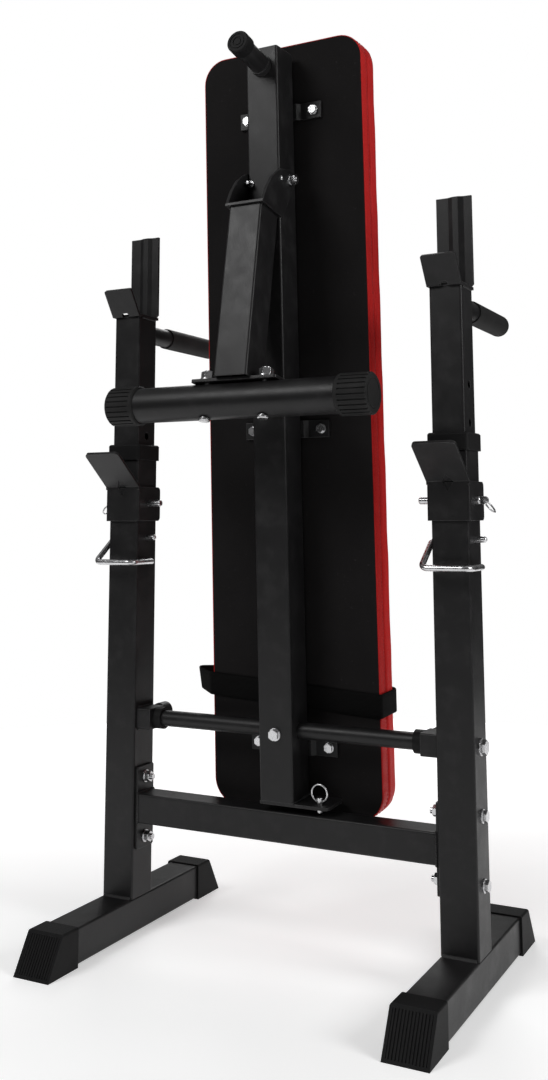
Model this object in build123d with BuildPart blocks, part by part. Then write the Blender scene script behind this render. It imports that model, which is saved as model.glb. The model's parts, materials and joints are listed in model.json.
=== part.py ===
"""Folding sit-up and decline bench with a barbell rack, stored upright.

Millimetres. X runs across the rack, Y from the front to the back, Z up from the floor.
The bench stands almost upright in the rack: its black underside and its folded leg face
the front (-Y), and its red pad faces the back.
"""

import os
from collections import namedtuple
from math import cos, radians, sin, sqrt

from build123d import *

# ---------------------------------------------------------------- driving sizes

GAP = 0.05  # radial clearance of a pin or a shaft in its hole
WALL = 2.0  # wall of every steel tube
SHEET = 4.0  # thickness of every bent steel plate

# rack
UPRIGHT_X = 253.0  # centre of each upright
TUBE = 50.0  # outer width of uprights, base tubes, spine and leg
TUBE_CORNER = 3.0
BASE_BOTTOM = 2.0
BASE_HEIGHT = 46.0
BASE_HALF_LENGTH = 165.0
BASE_TOP = BASE_BOTTOM + BASE_HEIGHT
UPRIGHT_TOP = 682.0
WELD = 3.0

FOOT_WIDTH = 56.0
FOOT_HEIGHT = 50.0
FOOT_BACK = 148.0
FOOT_TOP_FRONT = 180.0
FOOT_TOE = 209.0
FOOT_BORDER = 4.0
FOOT_RIBS = 12
RIB_DEPTH = 1.5

BEAM = 40.0
BEAM_Z = 170.0
BEAM_HALF = 224.0
BEAM_PLATE_BOTTOM = 114.0
BEAM_PLATE_TOP = 226.0
BEAM_BOLT_Z = (129.0, 211.0)

ROD_Z = 293.5
ROD_RADIUS = 11.0
ROD_HALF = 224.0
ROD_BORE_DEPTH = 20.0
BLOCK_INNER = 205.0
BLOCK_HALF_DEPTH = 20.0
BLOCK_Z = (279.0, 308.0)
BUSH_INNER = 192.0
BUSH_RADIUS = 15.0
BOSS_RADIUS = 12.0
BOSS_X = 216.0
BOSS_Z = 298.0
BOSS_LENGTH = 18.0

COLLAR_HALF = 28.5
COLLAR_Z = (664.0, 687.0)
COLLAR_CLEARANCE = 0.3
COLLAR_BEVEL = 2.0

CATCH_PIN_Z = 600.0
CATCH_HALF = TUBE / 2 + 0.2 + SHEET
CATCH_Z = (574.0, 624.0)
CATCH_BACK = 28.0
CATCH_TIP = (-84.0, 670.0)
CATCH_CORNER = 6.0
DART_HALF = 7.5
DART_HEIGHT = 13.0
DART_DEPTH = 1.4

# fasteners: the shank's radius, width across flats, head height, washer radius and thickness
Fastener = namedtuple("Fastener", "radius flats head washer thick")
M6 = Fastener(3.0, 11.0, 4.5, 7.0, 1.2)
M8 = Fastener(4.0, 13.0, 5.5, 8.5, 1.6)
M10 = Fastener(5.0, 17.0, 6.5, 10.5, 2.0)
NUT_HEIGHT = 8.0
LARGE_NUT_HEIGHT = 9.5
EDGE_ROUND = 1.0

# pins in the uprights
CATCH_PIN_RADIUS = 5.0
CATCH_PIN_INNER = 50.0
CATCH_PIN_EYE = 39.0
EYE_HALF = 2.5
EYE_RADIUS = 5.0
EYE_HOLE = 1.6
SPLIT_RING_RADIUS = 10.0
SPLIT_RING_WIRE = 1.1
SPLIT_RING_TILT = 40.0
SPLIT_RING_OFFSET = 0.17

BAIL_Z = 550.0
BAIL_WIRE = 4.0
BAIL_ARM_X = 32.0
BAIL_END_X = 37.0
BAIL_FRONT = -47.0
BAIL_DROP = 35.0
BAIL_HOOK_BACK = 3.0
BAIL_BEND = 9.0

# sliding posts
POST = 45.0
POST_Z = (480.0, 880.0)
POST_HOLES = (650.0, 700.0, 750.0)
POST_HOLE_RADIUS = 5.4
SLOT_RADIUS = 5.2
SLOT_TOP = 600.1

CRADLE_FRONT_HALF = 24.0
CRADLE_REAR_HALF = 25.0
CRADLE_REAR = 21.0
CRADLE_TOP = 1011.0
CRADLE_LIP = (-51.0, 917.0)
LIP_FOOT = -27.0
FLUTE = ((-8.0, 0.0), (-1.0, 3.0), (7.0, 3.0), (14.0, 0.0))
CRADLE_CHAMFER = 8.0
CRADLE_NOTCH = (12.0, 6.0)

HANDLE_Z = 861.0
HANDLE_RADIUS = 14.0
GRIP_RADIUS = 16.0
GRIP_Y = (82.0, 218.0)
GRIP_END = 6.0

# bench, in its own frame: x across, s up along the spine, n forward from the spine's axis
BENCH_TILT = 2.35
SPINE_S = (-90.0, 952.0)
TAB_HALF = 25.0
TAB_RIGHT = 76.0
HAT_S = (867.0, 407.5, -26.5)
HAT_LENGTH = 24.0
HAT_HALF = 66.0
HAT_TOP_HALF = 29.0
HAT_FOOT_HALF = 34.0
HAT_FOOT_N = -30.0
HAT_BOLT_X = 54.0
BOARD_BACK = -46.0
BOARD_FRONT = HAT_FOOT_N - SHEET
BOARD_INSET = 1.5
PAD_BACK = -84.0
PAD_HALF = 130.0
PAD_S = (-119.0, 972.0)
PAD_CORNER = 36.0
PAD_BACK_ROUND = 8.0
STRAP_S = 40.0
STRAP_WIDTH = 32.0
STRAP_SLOPE = 3.3
STRAP_THICKNESS = 2.5
STRAP_BULGE = 170.0
STRAP_CLEAR = 0.6
STRAP_BEND = 0.5
SPINE_BOLT_S = -2.0
SPINE_BOLT_REACH = 53.0
SCREW_X = -20.0
SCREW_S = 755.0
SCREW_LENGTH = 12.0
SCREW_RADIUS = 3.0

PEG_S = 925.0
PEG_RISE = 0.2
PEG_LENGTH = 64.0
PEG_RADIUS = 14.0
PEG_FOOT_RADIUS = 15.5
PEG_FOOT_LENGTH = 6.0
PEG_CAP_RADIUS = 16.5
PEG_CAP_START = 52.0
PEG_CAP_END = 70.0
PEG_RINGS = ((5.0, 7.0), (10.0, 12.0))
PEG_RING_DEPTH = 1.0

LOCK_X = 57.0
LOCK_N = 10.0
LOCK_RADIUS = 4.0
LOCK_S = (-101.5, -81.5)
LOCK_EYE_S = -87.2
LOCK_EYE_RADIUS = 2.0
LOCK_RING_RADIUS = 11.25
LOCK_RING_WIRE = 1.25
LOCK_RING_OFFSET = 0.35
BEAM_LOCK_HOLE = 4.5
BEAM_LOCK_Y = -5.6

# leg, in its own frame: x across, a down along the leg from the pivot, b forward
PIVOT_S = 760.0
LEG_ANGLE = 12.2
EAR_INNER = 25.5
EAR_OUTER = EAR_INNER + SHEET
EAR_ROUND = 15.0
EAR_FRONT = ((65.0, -41.0), (52.0, -17.0), (29.5, 4.5))
EAR_BEND = 50.0
LEG_FOOT_PLATE_A = 59.5
LEG_B = (18.0, 68.0)
LEG_PLATE_B = (14.0, 72.0)
LEG_END_A = 306.0
SADDLE_HALF = 64.0
SADDLE_B = (30.0, 60.0)
SADDLE_BOLT_X = 44.0
SADDLE_BOLT_B = 48.0
SADDLE_HEAD_RADIUS = 8.0
SADDLE_HEAD = 4.0
SADDLE_HEAD_ROUND = 2.5
FOOT_TUBE_RADIUS = 24.0
FOOT_TUBE_A = LEG_END_A + SHEET + FOOT_TUBE_RADIUS
FOOT_TUBE_B = (LEG_B[0] + LEG_B[1]) / 2
FOOT_TUBE_HALF = 190.0
GRIP_CAP_INNER = 150.0
GRIP_CAP_OUTER = 195.0
GRIP_CAP_RADIUS = 27.0
GRIP_CAP_GROOVES = 24
GROOVE_WIDTH = 2.4
GROOVE_DEPTH = 1.6
GROOVE_START = 156.0
CAP_RING_DEPTH = 1.0
RIVET_N = 27.0
RIVET_S = 757.0
RIVET_RADIUS = 4.0
RIVET_HEIGHT = 2.4

# ---------------------------------------------------------------- frames

SIDES = {"l": -1, "r": 1}
X_AXIS = Vector(1, 0, 0)

TILT = radians(BENCH_TILT)
UP_SPINE = Vector(0, -sin(TILT), cos(TILT))
OUT_OF_SPINE = Vector(0, -cos(TILT), -sin(TILT))
BENCH = Plane(origin=(0, 0, ROD_Z), x_dir=X_AXIS, z_dir=OUT_OF_SPINE)

SWING = radians(LEG_ANGLE)
LEG_OUT = OUT_OF_SPINE * cos(SWING) + UP_SPINE * sin(SWING)
LEG_UP = UP_SPINE * cos(SWING) - OUT_OF_SPINE * sin(SWING)
LEG = Plane(origin=BENCH.origin + UP_SPINE * PIVOT_S, x_dir=X_AXIS, z_dir=LEG_OUT)


def bench_point(x, s, n):
    """Return the world position of a point given in the bench's frame."""
    return BENCH.origin + X_AXIS * x + UP_SPINE * s + OUT_OF_SPINE * n


def leg_point(x, a, b):
    """Return the world position of a point given in the leg's frame."""
    return LEG.origin + X_AXIS * x - LEG_UP * a + LEG_OUT * b


def side_plane(x, side):
    """Return the plane at x whose normal points away from the middle on this side."""
    return Plane(origin=(x, 0, 0), x_dir=(0, side, 0), z_dir=(side, 0, 0))


# ---------------------------------------------------------------- helpers


def save(piece, name):
    """Label a finished piece and write its STEP file."""
    piece.part.label = name
    export_step(piece.part, f"parts/{name}.step")


def block(x, y, z, mode=Mode.ADD):
    """Add or cut the box between pairs of x, y and z in the current part's frame."""
    with Locations(((x[0] + x[1]) / 2, (y[0] + y[1]) / 2, (z[0] + z[1]) / 2)):
        Box(x[1] - x[0], y[1] - y[0], z[1] - z[0], mode=mode)


def disc(plane, start, end, radius, hole=0.0, mode=Mode.ADD):
    """Add or cut a round disc, ring or shank between two heights above a plane."""
    with BuildSketch(plane.offset(start)) as ring:
        Circle(radius)
        if hole:
            Circle(hole, mode=Mode.SUBTRACT)
    extrude(ring.sketch, amount=end - start, mode=mode)


def hexagon(plane, start, end, flats, hole=0.0):
    """Add a hexagon of a width across flats between two heights above a plane."""
    with BuildSketch(plane.offset(start)) as outline:
        RegularPolygon(radius=flats / sqrt(3), side_count=6)
        if hole:
            Circle(hole, mode=Mode.SUBTRACT)
    extrude(outline.sketch, amount=end - start)


def bolt(plane, size, depth):
    """Add a bolt whose washer lies on a plane and whose shank runs back by a depth."""
    disc(plane, -depth, size.thick, size.radius)
    disc(plane, 0, size.thick, size.washer)
    hexagon(plane, size.thick, size.thick + size.head, size.flats)


def nut(plane, size, height):
    """Add a washer and a nut that lie on a plane round a bolt's shank."""
    hole = size.radius + GAP
    disc(plane, 0, size.thick, size.washer, hole=hole)
    hexagon(plane, size.thick, size.thick + height, size.flats, hole=hole)


def square_tube(plane, width, depth, length, corner=TUBE_CORNER):
    """Add a square tube that runs from a plane along its normal."""
    with BuildSketch(plane) as section:
        RectangleRounded(width, depth, corner)
        RectangleRounded(width - 2 * WALL, depth - 2 * WALL, corner / 2, mode=Mode.SUBTRACT)
    extrude(section.sketch, amount=length)


# ---------------------------------------------------------------- rack


def base_tube(name, side):
    """Make one floor tube with the two weld beads at the upright's foot."""
    middle = side * UPRIGHT_X
    start = Plane(
        origin=(middle, -BASE_HALF_LENGTH, BASE_BOTTOM + BASE_HEIGHT / 2),
        x_dir=X_AXIS,
        z_dir=(0, 1, 0),
    )
    end_of_bead = Plane(origin=(middle - TUBE / 2 + WELD, 0, 0), x_dir=(0, 1, 0), z_dir=X_AXIS)
    with BuildPart() as piece:
        square_tube(start, TUBE, BASE_HEIGHT, 2 * BASE_HALF_LENGTH)
        for front in (-1, 1):
            foot = front * TUBE / 2
            with BuildSketch(end_of_bead):
                with BuildLine():
                    Polyline(
                        (foot, BASE_TOP),
                        (foot + front * WELD, BASE_TOP),
                        (foot, BASE_TOP + WELD),
                        close=True,
                    )
                make_face()
            extrude(amount=TUBE - 2 * WELD)
    save(piece, name)


def foot_cap(name, side, front):
    """Make one slanted plastic foot with a ribbed toe that sleeves the floor tube."""
    middle = side * UPRIGHT_X
    profile = Plane(origin=(middle, 0, 0), x_dir=(0, front, 0), z_dir=(front, 0, 0))
    run = FOOT_TOE - FOOT_TOP_FRONT
    slant = sqrt(run**2 + FOOT_HEIGHT**2)
    toe = Plane(
        origin=(middle, front * (FOOT_TOE + FOOT_TOP_FRONT) / 2, FOOT_HEIGHT / 2),
        x_dir=(1, 0, 0),
        z_dir=(0, front * FOOT_HEIGHT, run),
    )
    field_width = FOOT_WIDTH - 2 * FOOT_BORDER
    field_height = slant - 2 * FOOT_BORDER
    pitch = field_width / FOOT_RIBS
    with BuildPart() as piece:
        with BuildSketch(profile):
            with BuildLine():
                Polyline(
                    (FOOT_BACK, 0),
                    (FOOT_TOE, 0),
                    (FOOT_TOP_FRONT, FOOT_HEIGHT),
                    (FOOT_BACK, FOOT_HEIGHT),
                    close=True,
                )
            make_face()
        extrude(amount=FOOT_WIDTH / 2, both=True)
        fillet(piece.edges().filter_by(Axis.Y).group_by(Axis.Z)[-1], radius=WELD)
        tube_end = (front * (FOOT_BACK - WELD), front * BASE_HALF_LENGTH)
        block(
            (middle - TUBE / 2, middle + TUBE / 2),
            (min(tube_end), max(tube_end)),
            (BASE_BOTTOM, BASE_TOP),
            mode=Mode.SUBTRACT,
        )
        with BuildSketch(toe):
            Rectangle(field_width, field_height)
            with GridLocations(pitch, 0, FOOT_RIBS, 1):
                Rectangle(pitch / 2, field_height, mode=Mode.SUBTRACT)
        extrude(amount=-RIB_DEPTH, mode=Mode.SUBTRACT)
    save(piece, name)


def upright(name, side):
    """Make one upright tube with its pin and bolt holes."""
    middle = side * UPRIGHT_X
    axis = side_plane(middle, side)
    holes = [(z, M8.radius + GAP) for z in BEAM_BOLT_Z]
    holes.append((ROD_Z, M10.radius + GAP))
    holes.append((BAIL_Z, BAIL_WIRE + GAP))
    holes.append((CATCH_PIN_Z, CATCH_PIN_RADIUS + GAP))
    with BuildPart() as piece:
        foot = Plane(origin=(middle, 0, BASE_TOP))
        square_tube(foot, TUBE, TUBE, UPRIGHT_TOP - BASE_TOP)
        for z, radius in holes:
            with BuildSketch(axis.offset(-TUBE)):
                with Locations((0, z)):
                    Circle(radius)
            extrude(amount=2 * TUBE, mode=Mode.SUBTRACT)
    save(piece, name)


def collar(name, side):
    """Make the plastic collar that guides the post at an upright's top."""
    middle = side * UPRIGHT_X
    post_hole = POST + 2 * COLLAR_CLEARANCE
    with BuildPart() as piece:
        with BuildSketch(Plane(origin=(middle, 0, COLLAR_Z[0]))):
            RectangleRounded(2 * COLLAR_HALF, 2 * COLLAR_HALF, 2 * TUBE_CORNER)
            RectangleRounded(TUBE, TUBE, TUBE_CORNER, mode=Mode.SUBTRACT)
        extrude(amount=UPRIGHT_TOP - COLLAR_Z[0])
        with BuildSketch(Plane(origin=(middle, 0, UPRIGHT_TOP))):
            RectangleRounded(2 * COLLAR_HALF, 2 * COLLAR_HALF, 2 * TUBE_CORNER)
            RectangleRounded(post_hole, post_hole, TUBE_CORNER, mode=Mode.SUBTRACT)
        extrude(amount=COLLAR_Z[1] - UPRIGHT_TOP)
        top = piece.faces().sort_by(Axis.Z)[-1]
        chamfer(top.outer_wire().edges(), length=COLLAR_BEVEL)
    save(piece, name)


def crossbeam():
    """Make the beam between the uprights, with the lock pin's hole in its top."""
    start = Plane(origin=(-BEAM_HALF, 0, BEAM_Z), x_dir=(0, 1, 0), z_dir=X_AXIS)
    with BuildPart() as piece:
        square_tube(start, BEAM, BEAM, 2 * BEAM_HALF)
        disc(Plane(origin=(LOCK_X, BEAM_LOCK_Y, BEAM_Z)), 0, BEAM, BEAM_LOCK_HOLE, mode=Mode.SUBTRACT)
    save(piece, "crossbeam")


def beam_plate(name, side):
    """Make the plate welded to one end of the beam and bolted to its upright."""
    inner = side_plane(side * BEAM_HALF, side)
    with BuildPart() as piece:
        with BuildSketch(inner):
            with Locations((0, (BEAM_PLATE_BOTTOM + BEAM_PLATE_TOP) / 2)):
                RectangleRounded(BEAM, BEAM_PLATE_TOP - BEAM_PLATE_BOTTOM, WELD)
            for z in BEAM_BOLT_Z:
                with Locations((0, z)):
                    Circle(M8.radius + GAP, mode=Mode.SUBTRACT)
        extrude(amount=SHEET)
    save(piece, name)


def beam_bolts():
    """Make the bolts and nuts that hold the beam between the uprights."""
    outer = UPRIGHT_X + TUBE / 2
    shank = outer - BEAM_HALF + M8.thick + NUT_HEIGHT + M8.radius
    with BuildPart() as piece:
        for side in SIDES.values():
            for z in BEAM_BOLT_Z:
                head_plane = Plane(origin=(side * outer, 0, z), z_dir=(side, 0, 0))
                nut_plane = Plane(origin=(side * BEAM_HALF, 0, z), z_dir=(-side, 0, 0))
                bolt(head_plane, M8, shank)
                nut(nut_plane, M8, NUT_HEIGHT)
    save(piece, "beam_bolts")


def rod_block(name, side):
    """Make the block that carries one end of the bench rod on its upright."""
    inner = side_plane(side * BLOCK_INNER, side)
    width = UPRIGHT_X - TUBE / 2 - BLOCK_INNER
    with BuildPart() as piece:
        with BuildSketch(inner):
            with Locations((0, (BLOCK_Z[0] + BLOCK_Z[1]) / 2)):
                RectangleRounded(2 * BLOCK_HALF_DEPTH, BLOCK_Z[1] - BLOCK_Z[0], TUBE_CORNER)
            with Locations((0, ROD_Z)):
                Circle(ROD_RADIUS + GAP, mode=Mode.SUBTRACT)
        extrude(amount=width)
    save(piece, name)


def rod_bushes():
    """Make the two plastic bushes that centre the rod between its blocks."""
    with BuildPart() as piece:
        for side in SIDES.values():
            start = Plane(origin=(side * BUSH_INNER, 0, ROD_Z), z_dir=(side, 0, 0))
            disc(start, 0, BLOCK_INNER - BUSH_INNER, BUSH_RADIUS, hole=ROD_RADIUS + GAP)
    save(piece, "rod_bushes")


def rod_bosses():
    """Make the round bosses behind the rod blocks."""
    with BuildPart() as piece:
        for side in SIDES.values():
            back = Plane(origin=(side * BOSS_X, BLOCK_HALF_DEPTH, BOSS_Z), z_dir=(0, 1, 0))
            disc(back, 0, BOSS_LENGTH, BOSS_RADIUS)
    save(piece, "rod_bosses")


def rod_end_bolts():
    """Make the bolts that enter the rod's ends from outside the uprights."""
    outer = UPRIGHT_X + TUBE / 2
    depth = outer - ROD_HALF + ROD_BORE_DEPTH - WALL
    with BuildPart() as piece:
        for side in SIDES.values():
            bolt(Plane(origin=(side * outer, 0, ROD_Z), z_dir=(side, 0, 0)), M10, depth)
    save(piece, "rod_end_bolts")


def catch(name, side):
    """Make one bar catch: a U bracket round the upright and its leaning plate."""
    middle = side * UPRIGHT_X
    inner = CATCH_HALF - SHEET
    front = -CATCH_HALF
    bend = Vector(0, front, CATCH_Z[1])
    lean = Vector(0, *CATCH_TIP) - bend
    inward = Vector(0, lean.Z, -lean.Y).normalized()
    root = lean.normalized() * SHEET / 4
    profile = Plane(origin=(middle, 0, 0), x_dir=(0, 1, 0), z_dir=X_AXIS)
    outline = [bend, bend + lean, bend + lean + inward * SHEET, bend + inward * SHEET - root]
    outline += [bend + Vector(0, SHEET, -SHEET), bend - Vector(0, 0, SHEET)]
    web = Plane(origin=(middle, front, CATCH_Z[1]), x_dir=X_AXIS, z_dir=(0, -1, 0))
    plate = Plane(origin=(middle, front, CATCH_Z[1]), x_dir=X_AXIS, z_dir=-inward)
    with BuildPart() as piece:
        block((middle - CATCH_HALF, middle + CATCH_HALF), (front, CATCH_BACK), CATCH_Z)
        block((middle - inner, middle + inner), (front + SHEET, CATCH_BACK), CATCH_Z, mode=Mode.SUBTRACT)
        fillet(piece.edges().filter_by(Axis.Z).group_by(Axis.Y)[0], radius=SHEET)
        fillet(piece.edges().filter_by(Axis.X).group_by(Axis.Y)[-1], radius=CATCH_CORNER)
        with BuildSketch(profile):
            with BuildLine():
                Polyline(*[(point.Y, point.Z) for point in outline], close=True)
            make_face()
        extrude(amount=CATCH_HALF, both=True)
        tip_edges = piece.edges().filter_by(Axis((0, 0, 0), inward)).sort_by(Axis.Y)[:2]
        fillet(tip_edges, radius=CATCH_CORNER)
        for face in (web, plate):
            with BuildSketch(face):
                with BuildLine():
                    Polyline((-DART_HALF, 0), (0, -DART_HEIGHT), (DART_HALF, 0), close=True)
                make_face()
                mirror(about=Plane.XZ)
            extrude(amount=-DART_DEPTH, mode=Mode.SUBTRACT)
        with BuildSketch(profile.offset(-TUBE)):
            with Locations((0, CATCH_PIN_Z)):
                Circle(CATCH_PIN_RADIUS + GAP)
        extrude(amount=2 * TUBE, mode=Mode.SUBTRACT)
    save(piece, name)


# ---------------------------------------------------------------- pins in the uprights


def catch_pin(name, side):
    """Make one plain pin with a rounded nose and a flat eye at its outer end."""
    axis = Plane(origin=(side * UPRIGHT_X, 0, CATCH_PIN_Z), z_dir=(side, 0, 0))
    eye = Plane(origin=axis.origin, x_dir=(side, 0, 0), z_dir=(0, 1, 0))
    shoulder = CATCH_PIN_EYE - EYE_RADIUS
    with BuildPart() as piece:
        disc(axis, -CATCH_PIN_INNER, shoulder, CATCH_PIN_RADIUS)
        fillet(piece.edges(), radius=CATCH_PIN_RADIUS / 2)
        with BuildSketch(eye):
            with Locations(((shoulder + CATCH_PIN_EYE) / 2, 0)):
                Rectangle(EYE_RADIUS, 2 * EYE_RADIUS)
            with Locations((CATCH_PIN_EYE, 0)):
                Circle(EYE_RADIUS)
                Circle(EYE_HOLE, mode=Mode.SUBTRACT)
        extrude(amount=EYE_HALF, both=True)
    save(piece, name)


def split_ring(name, side):
    """Make the wire ring that hangs in a catch pin's eye, swung a little outwards."""
    swing = radians(SPLIT_RING_TILT)
    towards = Vector(side * sin(swing), 0, -cos(swing))
    eye = Vector(side * (UPRIGHT_X + CATCH_PIN_EYE), 0, CATCH_PIN_Z)
    centre = eye + towards * (SPLIT_RING_RADIUS - SPLIT_RING_OFFSET)
    with BuildPart(Plane(origin=centre, z_dir=(cos(swing), 0, side * sin(swing)))) as piece:
        Torus(SPLIT_RING_RADIUS, SPLIT_RING_WIRE)
    save(piece, name)


def bail(name, side):
    """Make one bent wire pin: a shank through the upright and a loop round its front."""
    middle = side * UPRIGHT_X
    low = BAIL_Z - BAIL_DROP
    corners = [
        (middle + BAIL_END_X, 0, BAIL_Z),
        (middle - BAIL_ARM_X, 0, BAIL_Z),
        (middle - BAIL_ARM_X, BAIL_FRONT, low),
        (middle + BAIL_ARM_X, BAIL_FRONT, low),
        (middle + BAIL_ARM_X, BAIL_HOOK_BACK, low),
    ]
    with BuildPart() as piece:
        with BuildLine() as path:
            FilletPolyline(*corners, radius=BAIL_BEND)
        with BuildSketch(Plane(origin=corners[0], z_dir=(-1, 0, 0))):
            Circle(BAIL_WIRE)
        sweep(path=path.wire())
        with Locations(corners[0], corners[-1]):
            Sphere(BAIL_WIRE)
    save(piece, name)


# ---------------------------------------------------------------- sliding posts


def post_tube(name, side):
    """Make one inner post, with its height holes and the slots that clear both pins."""
    middle = side * UPRIGHT_X
    across = side_plane(middle, 1).offset(-POST)
    slot_length = SLOT_TOP - POST_Z[0]
    with BuildPart() as piece:
        square_tube(Plane(origin=(middle, 0, POST_Z[0])), POST, POST, POST_Z[1] - POST_Z[0])
        with BuildSketch(across):
            for z in POST_HOLES:
                with Locations((0, z)):
                    Circle(POST_HOLE_RADIUS)
            with Locations((0, SLOT_TOP)):
                Circle(SLOT_RADIUS)
            with Locations((0, SLOT_TOP - slot_length / 2)):
                Rectangle(2 * SLOT_RADIUS, slot_length)
        extrude(amount=2 * POST, mode=Mode.SUBTRACT)
    save(piece, name)


def cradle(name, side):
    """Make one bar cradle: a short leaning lip, a floor and a tall fluted back plate."""
    middle = side * UPRIGHT_X
    floor = POST_Z[1]
    rear_face = CRADLE_REAR + SHEET
    profile = Plane(origin=(middle, 0, 0), x_dir=(0, 1, 0), z_dir=X_AXIS)
    back = Plane(origin=(middle, CRADLE_REAR, 0), x_dir=(-1, 0, 0), z_dir=(0, 1, 0))
    lean = Vector(0, CRADLE_LIP[0] - LIP_FOOT, CRADLE_LIP[1] - floor)
    with BuildPart() as piece:
        with BuildSketch(profile):
            with BuildLine():
                Polyline(CRADLE_LIP, (LIP_FOOT, floor), (rear_face, floor))
                offset(amount=SHEET, side=Side.LEFT, kind=Kind.INTERSECTION)
            make_face()
        extrude(amount=CRADLE_FRONT_HALF, both=True)
        thickness = Axis((0, 0, 0), (0, lean.Z, -lean.Y))
        fillet(piece.edges().filter_by(thickness).sort_by(Axis.Y)[:2], radius=WELD)
        with BuildSketch(back):
            with Locations((0, (floor + CRADLE_TOP) / 2)):
                Rectangle(2 * CRADLE_REAR_HALF, CRADLE_TOP - floor)
            chamfer(vertices().group_by(Axis.Y)[0], length=CRADLE_CHAMFER)
        extrude(amount=SHEET)
        with BuildSketch(Plane(origin=(middle, CRADLE_REAR, floor))):
            with BuildLine():
                Polyline(*[(x, -rise) for x, rise in FLUTE], close=True)
            make_face()
        extrude(amount=CRADLE_TOP - floor)
        with BuildSketch(Plane(origin=(middle, LIP_FOOT, floor))):
            SlotOverall(*CRADLE_NOTCH)
        extrude(amount=SHEET * 2, both=True, mode=Mode.SUBTRACT)
    save(piece, name)


def handle_stub(name, side):
    """Make the steel tube that carries one dip handle behind a post."""
    start = Plane(origin=(side * UPRIGHT_X, POST / 2, HANDLE_Z), z_dir=(0, 1, 0))
    length = GRIP_Y[1] - GRIP_END - POST / 2
    with BuildPart() as piece:
        disc(start, 0, length, HANDLE_RADIUS, hole=HANDLE_RADIUS - WALL)
    save(piece, name)


def handle_grip(name, side):
    """Make the closed rubber sleeve on one dip handle."""
    start = Plane(origin=(side * UPRIGHT_X, GRIP_Y[0], HANDLE_Z), z_dir=(0, 1, 0))
    length = GRIP_Y[1] - GRIP_Y[0]
    with BuildPart() as piece:
        disc(start, 0, length, GRIP_RADIUS)
        fillet(piece.edges().filter_by(GeomType.CIRCLE).sort_by(Axis.Y)[-1], radius=GRIP_END / 2)
        disc(start, 0, length - GRIP_END, HANDLE_RADIUS, mode=Mode.SUBTRACT)
    save(piece, name)


# ---------------------------------------------------------------- bench


def rod():
    """Make the steel rod on which the bench turns, bored at both ends."""
    axis = Plane(origin=(0, 0, ROD_Z), z_dir=X_AXIS)
    with BuildPart() as piece:
        disc(axis, -ROD_HALF, ROD_HALF, ROD_RADIUS)
        for side in SIDES.values():
            end = Plane(origin=(side * ROD_HALF, 0, ROD_Z), z_dir=(-side, 0, 0))
            disc(end, 0, ROD_BORE_DEPTH, M10.radius + GAP, mode=Mode.SUBTRACT)
        bolt_axis = Plane(origin=bench_point(0, SPINE_BOLT_S, 0), z_dir=OUT_OF_SPINE)
        disc(bolt_axis, -TUBE, TUBE, M8.radius + GAP, mode=Mode.SUBTRACT)
    save(piece, "rod")


def spine():
    """Make the bench's square spine, closed at its top, with its cross holes."""
    bottom = Plane(origin=bench_point(0, SPINE_S[0], 0), x_dir=X_AXIS, z_dir=UP_SPINE)
    length = SPINE_S[1] - SPINE_S[0]
    rod_axis = Plane(origin=(0, 0, ROD_Z), z_dir=X_AXIS)
    pivot_axis = Plane(origin=LEG.origin, z_dir=X_AXIS)
    bolt_axis = Plane(origin=bench_point(0, SPINE_BOLT_S, 0), z_dir=OUT_OF_SPINE)
    with BuildPart() as piece:
        square_tube(bottom, TUBE, TUBE, length)
        with BuildSketch(bottom.offset(length - WALL)):
            RectangleRounded(TUBE, TUBE, TUBE_CORNER)
        extrude(amount=WALL)
        disc(rod_axis, -TUBE, TUBE, ROD_RADIUS + GAP, mode=Mode.SUBTRACT)
        disc(pivot_axis, -TUBE, TUBE, M8.radius + GAP, mode=Mode.SUBTRACT)
        disc(bolt_axis, -TUBE, TUBE, M8.radius + GAP, mode=Mode.SUBTRACT)
    save(piece, "spine")


def lock_tab():
    """Make the plate under the spine that the lock pin passes through."""
    pin_axis = Plane(origin=bench_point(LOCK_X, SPINE_S[0], LOCK_N), z_dir=UP_SPINE)
    with BuildPart(BENCH) as piece:
        block((-TUBE / 2, TAB_RIGHT), (SPINE_S[0] - SHEET, SPINE_S[0]), (-TAB_HALF, TAB_HALF))
        fillet(piece.edges().filter_by(Axis((0, 0, 0), UP_SPINE)).group_by(Axis.X)[-1], radius=SHEET * 2)
        disc(pin_axis, -TUBE, TUBE, LOCK_RADIUS + GAP, mode=Mode.SUBTRACT)
    save(piece, "lock_tab")


def hat_bracket(name, s):
    """Make one hat-shaped bracket that holds the board away from the spine."""
    start = Plane(origin=bench_point(0, s - HAT_LENGTH / 2, 0), x_dir=X_AXIS, z_dir=UP_SPINE)
    top_n = -TUBE / 2
    with BuildPart() as piece:
        with BuildSketch(start):
            with BuildLine():
                Polyline(
                    (-HAT_HALF, -HAT_FOOT_N),
                    (-HAT_FOOT_HALF, -HAT_FOOT_N),
                    (-HAT_TOP_HALF, -top_n),
                    (HAT_TOP_HALF, -top_n),
                    (HAT_FOOT_HALF, -HAT_FOOT_N),
                    (HAT_HALF, -HAT_FOOT_N),
                )
                offset(amount=SHEET, side=Side.LEFT, kind=Kind.INTERSECTION)
            make_face()
        extrude(amount=HAT_LENGTH)
        for x in (-HAT_BOLT_X, HAT_BOLT_X):
            hole = Plane(origin=bench_point(x, s, 0), z_dir=OUT_OF_SPINE)
            disc(hole, -TUBE, TUBE, M6.radius + GAP, mode=Mode.SUBTRACT)
    save(piece, name)


def hat_bolts():
    """Make the bolts that hold the board on its brackets."""
    depth = HAT_FOOT_N - BOARD_BACK - WALL
    with BuildPart() as piece:
        for s in HAT_S:
            for x in (-HAT_BOLT_X, HAT_BOLT_X):
                bolt(Plane(origin=bench_point(x, s, HAT_FOOT_N), z_dir=OUT_OF_SPINE), M6, depth)
    save(piece, "hat_bolts")


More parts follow.
